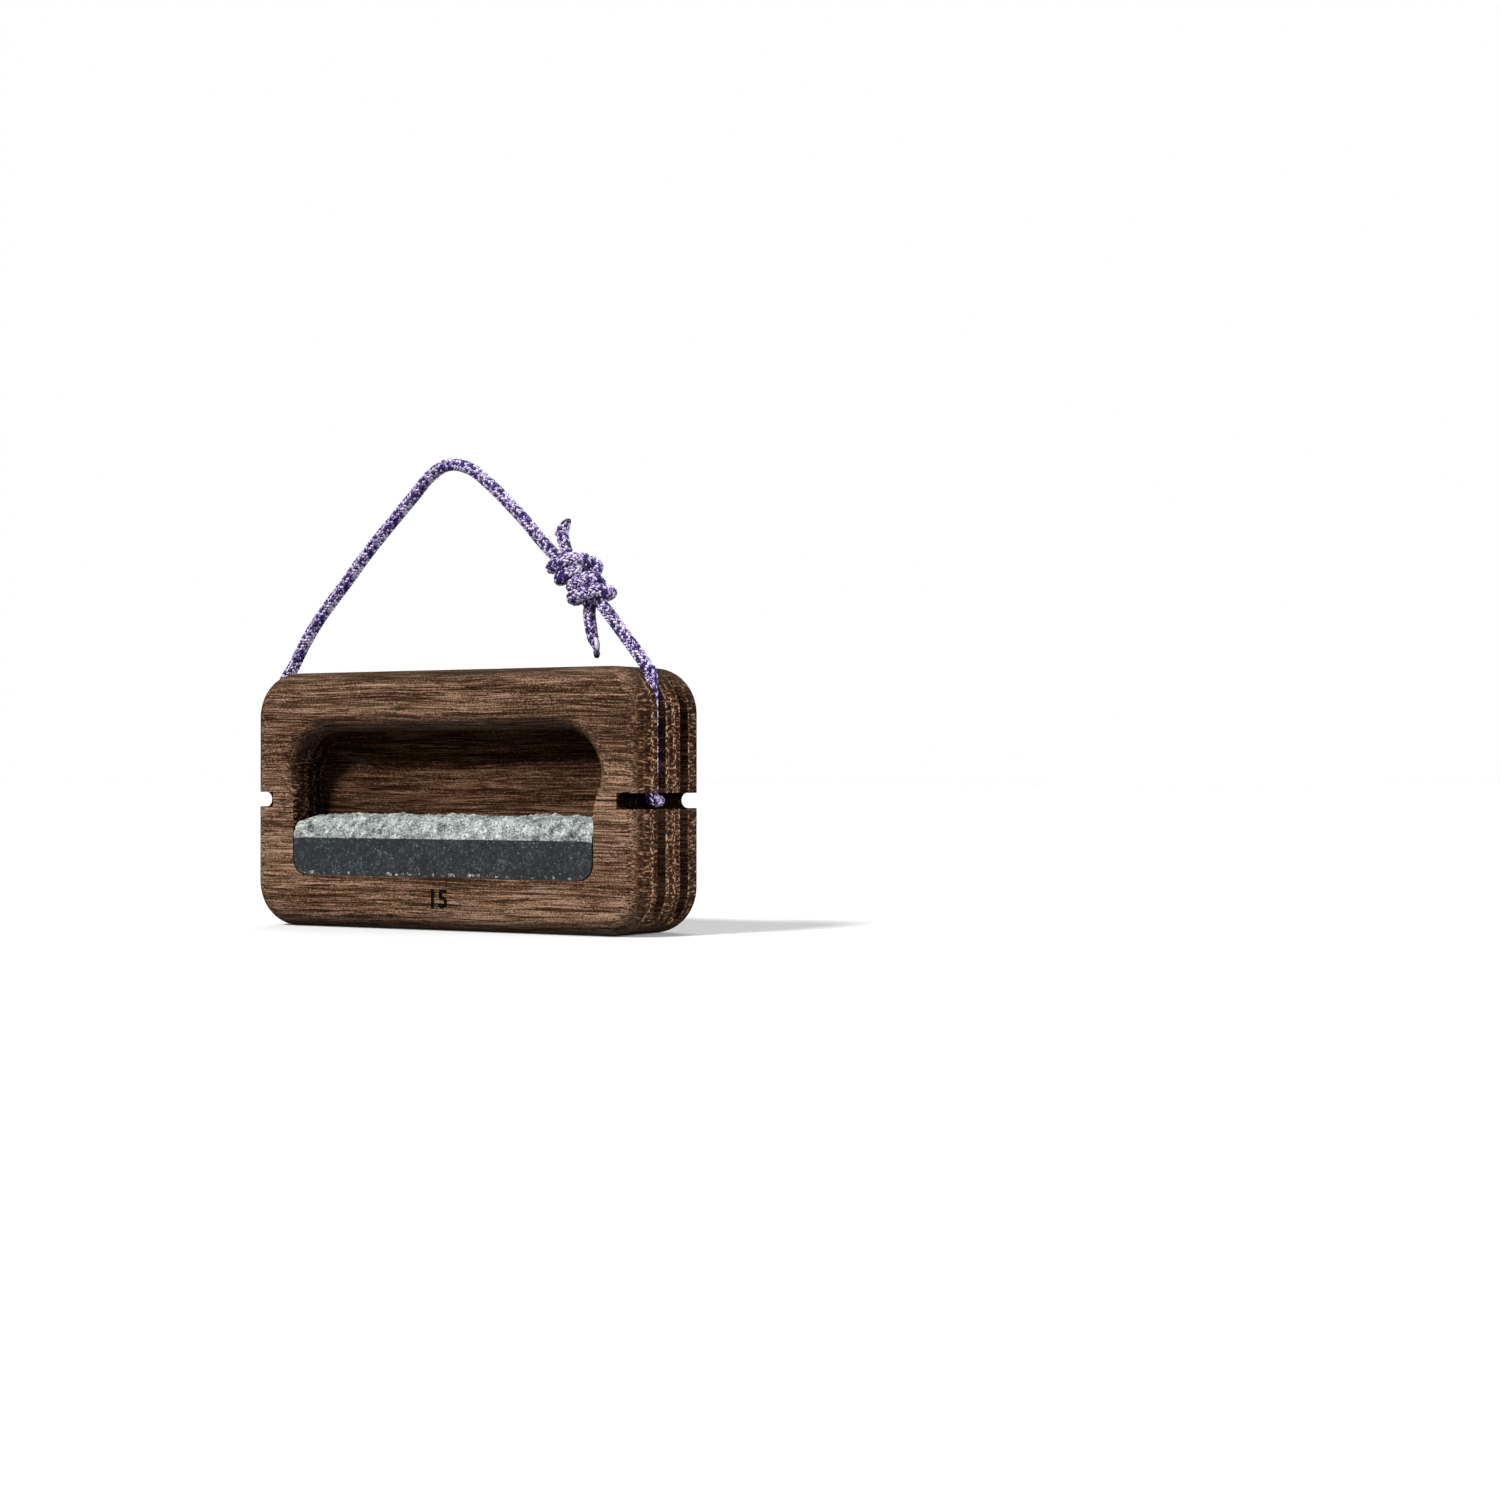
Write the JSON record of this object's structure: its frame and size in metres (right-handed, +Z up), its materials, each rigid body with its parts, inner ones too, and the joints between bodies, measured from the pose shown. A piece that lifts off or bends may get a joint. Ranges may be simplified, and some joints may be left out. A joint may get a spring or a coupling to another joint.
{
  "type": "portable hangboard",
  "caption": "Portable hardwood hangboard with a stone-edged finger pocket in its front and its rear, hung from a knotted cord loop that runs lengthwise through it.",
  "frame": {"origin": "middle of the board's underside, without the cord", "axes": "+X along the board to its right end, +Z up, the front pocket faces -Y"},
  "size_m": [0.148, 0.035, 0.1457],
  "materials": {
    "oak": "smoked oak, sanded and lightly oiled",
    "stone": "honed face with a rough split lip",
    "adhesive": "cured resin",
    "cord": "braided accessory cord, purple with a white fleck"
  },
  "bodies": {
    "board": {"wood_board": "oak", "front_stone_bar": "stone", "front_adhesive_bed": "adhesive", "rear_stone_bar": "stone", "rear_adhesive_bed": "adhesive", "cord_held_run": "cord"},
    "cord_loop": {"cord_left_strand": "cord", "cord_right_strand": "cord"}
  },
  "joints": [
    {"name": "loop_swing", "type": "hinge", "parent": "board", "child": "cord_loop", "pos_m": [0, -0.00615, 0.0825], "axis": [1, 0, 0], "range_deg": [-74, 90]}
  ]
}
